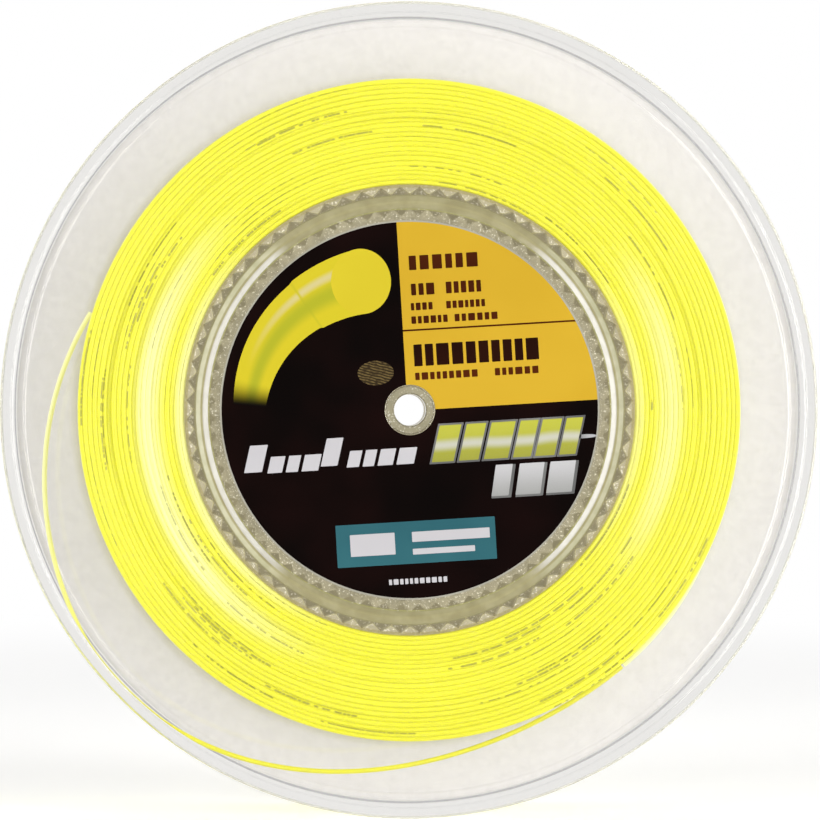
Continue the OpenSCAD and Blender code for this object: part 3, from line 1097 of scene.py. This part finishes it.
def floor():
    """A pale floor that melts into the white surroundings away from the reel.

    Only the camera sees it: the clear plastic shows the white surroundings in its place."""
    side, low = 6.0, cad_box[0].z
    made, n = new_material("floor")
    place = n.place()
    away = n.add("ShaderNodeVectorMath", {"operation": "LENGTH"}, in0=place).outputs["Value"]
    far = n.fade(away, 0.2, 0.7)
    grain = n.fade(n.noise(300.0, 3.0, place), 0.3, 0.7)
    tone = n.mix(grain, (0.86, 0.86, 0.86, 1), (0.9, 0.9, 0.9, 1))
    matt = n.add("ShaderNodeBsdfDiffuse", Color=tone)
    glow = n.add("ShaderNodeEmission", Color=(1, 1, 1, 1), Strength=1.0)
    near = n.add("ShaderNodeEmission", Color=(1, 1, 1, 1), Strength=0.25)
    lit = n.add("ShaderNodeAddShader", in0=matt.outputs[0], in1=near.outputs[0])
    shown = n.shader_mix(far, lit.outputs[0], glow.outputs[0])
    n.surface(n.shader_mix(n.ray("Camera"), n.see_through(), shown))
    corners = [(-side, -side, low), (side, -side, low), (side, side, low), (-side, side, low)]
    stage_piece("floor", corners, [(0, 1, 2, 3)], made)


def backing():
    """A white sheet just behind the reel, with a painted soft shadow of the pack on it, strongest
    at the left and below.

    It is seen only from the front, and only behind the rear flange."""
    made, n = new_material("backing")
    x, _, z = n.split(n.place())
    paper = n.mix(n.fade(n.noise(500.0, 3.0, n.place()), 0.3, 0.7), (0.59, 0.58, 0.60, 1),
                  (0.63, 0.62, 0.64, 1))
    # painted shadow of the pack: a dark yellowish band just outside it, strongest at the left and
    # below
    near = n.fade(n.radius(), PACK_R + 2.5 * MM, PACK_R + 5.5 * MM, 1.0, 0.0)
    sideways = n.fade(n.math("ADD", x, n.math("MULTIPLY", z, 0.5)), -0.04, 0.06, 0.5, 0.22)
    tone = n.mix(n.math("MULTIPLY", near, sideways), paper, (0.36, 0.34, 0.15, 1))
    matt = n.add("ShaderNodeBsdfDiffuse", Color=tone)
    glow = n.add("ShaderNodeEmission", Color=tone, Strength=0.12)
    lit = n.add("ShaderNodeAddShader", in0=matt.outputs[0], in1=glow.outputs[0])
    back = n.add("ShaderNodeNewGeometry").outputs["Backfacing"]
    hidden = n.math("MAXIMUM", back, n.ray("Shadow"))
    n.surface(n.shader_mix(hidden, lit.outputs[0], n.see_through()))
    steps, depth = 180, RIM_FACE + 0.2 * MM
    turn = np.arange(steps) * TURN / steps
    rings = [round_path(radius, turn, np.full(steps, depth))
             for radius in (FLANGE_R - 0.8 * MM, BOSS_R)]
    stage_piece("backing", np.concatenate(rings).tolist(),
                grid_faces(2, steps, False, True), made)


def camera():
    """Straight on, a little from the left, and near enough for the photo's perspective."""
    data = bpy.data.cameras.new("camera")
    distance, aside = 0.7, math.radians(1.1)
    data.sensor_width = 36.0
    half_view = FLANGE_R * 1.00245               # the reel nearly fills the frame
    data.lens = data.sensor_width / 2 * distance / half_view
    eye = put("camera", data)
    eye.location = (-distance * math.sin(aside), -RIM_FACE - distance * math.cos(aside), 0)
    eye.rotation_euler = (math.radians(90), 0, -aside)
    bpy.context.scene.camera = eye


# ---------------------------------------------------------------- the whole reel

clear = clear_plastic("clear_plastic", (0.996, 0.995, 0.99, 1), 0.02, 0.02)
groove = clear_plastic("groove_plastic", (0.996, 0.995, 0.99, 1), 0.1, 0.02, groove_painted_light)
# painted highlight: a pale yellow glowing plastic on the groove's rounded edges
line = hazy_plastic("line_plastic", (0.44, 0.43, 0.16, 1), (0.54, 0.53, 0.22, 1), 0.3, 0.1)
front_edge = clear_plastic("front_edge_plastic", (0.95, 0.955, 0.92, 1), 0.05, 0.04)
# painted shade: a darker grey copy of the clear plastic, for the rear rim's edge
shaded_rear_edge = clear_plastic("rear_edge_plastic", (0.78, 0.78, 0.80, 1), 0.05, 0.04)
# frosted and drum plastics: painted olive tone and glow, for light from the string
frosted = hazy_plastic("frosted_plastic", (0.28, 0.255, 0.17, 1), (0.34, 0.31, 0.21, 1),
                       0.85, 0.15)
hazy = hazy_plastic("drum_plastic", (0.29, 0.26, 0.17, 1), (0.37, 0.335, 0.22, 1), 0.75, 0.0)
# painted glint on the drum's teeth edges
pale = hazy_plastic("edge_plastic", (0.46, 0.43, 0.22, 1), (0.58, 0.55, 0.34, 1), 0.25, 0.0)
yellow = string_material("string", (0.63, 0.615, 0.004, 1), (0.67, 0.655, 0.010, 1))
loose = string_material("loose_string", (0.58, 0.56, 0.012, 1), (0.62, 0.60, 0.02, 1), 0.48)
black = print_material("label_black", (0.003, 0.0022, 0.002, 1), (0.012, 0.004, 0.0035, 1),
                       0.12)
paper = print_material("label_paper", (0.46, 0.44, 0.36, 1), (0.56, 0.54, 0.45, 1), 0.4)
amber = print_material("label_amber", (0.76, 0.465, 0.032, 1), (0.81, 0.505, 0.038, 1))
maroon = print_material("label_maroon", (0.06, 0.012, 0.003, 1), (0.11, 0.022, 0.004, 1))
umber = print_material("label_umber", (0.01, 0.003, 0.002, 1), (0.03, 0.007, 0.003, 1))
white = print_material("label_white", (0.68, 0.66, 0.68, 1), (0.74, 0.72, 0.74, 1))
silver = print_material("label_silver", (0.42, 0.42, 0.40, 1), (0.72, 0.71, 0.72, 1), 0.25,
                        (1, -24.0, -15.0))
steel = print_material("label_steel", (0.12, 0.12, 0.12, 1), (0.28, 0.28, 0.27, 1))
streak = print_material("label_streak", (0.03, 0.03, 0.03, 1), (0.6, 0.6, 0.62, 1), 0.2,
                        (0, 41.0, 46.0))
slate = print_material("label_slate", (0.035, 0.14, 0.17, 1), (0.05, 0.19, 0.22, 1))
chrome = chrome_material("label_shine", (0.62, 0.62, 0.04, 1), (0.42, 0.42, 0.03, 1), -9.3, 9.4)
drawn = drawn_string_material("label_drawing")
cut_face = print_material("label_cut", (0.80, 0.64, 0.034, 1), (0.84, 0.69, 0.038, 1))
foil = foil_material("seal_foil")

make_flange("front_flange", FRONT, [clear, frosted, groove, front_edge, line])
make_flange("rear_flange", REAR, [clear, frosted, groove, shaded_rear_edge, line])
make_drum([hazy, pale])
make_ribs(hazy)
for node, material in (("front_label", paper), ("rear_label", paper), ("seal", foil)):
    frame["nodes"][node].data.materials.clear()
    frame["nodes"][node].data.materials.append(material)
front_prints()
rear_prints()

front = face_turns("front_turns", 3, FRONT, yellow)
face_turns("rear_turns", 4, REAR, yellow)
outer_turns("outer_turns", 5, yellow)
pack_core(yellow)
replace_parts(front, "string_pack")
make_loose_string(loose)
make_knot(yellow)

floor()
backing()
studio()
camera()
view = bpy.context.scene.view_settings
view.view_transform = "Standard"
view.look = "None"
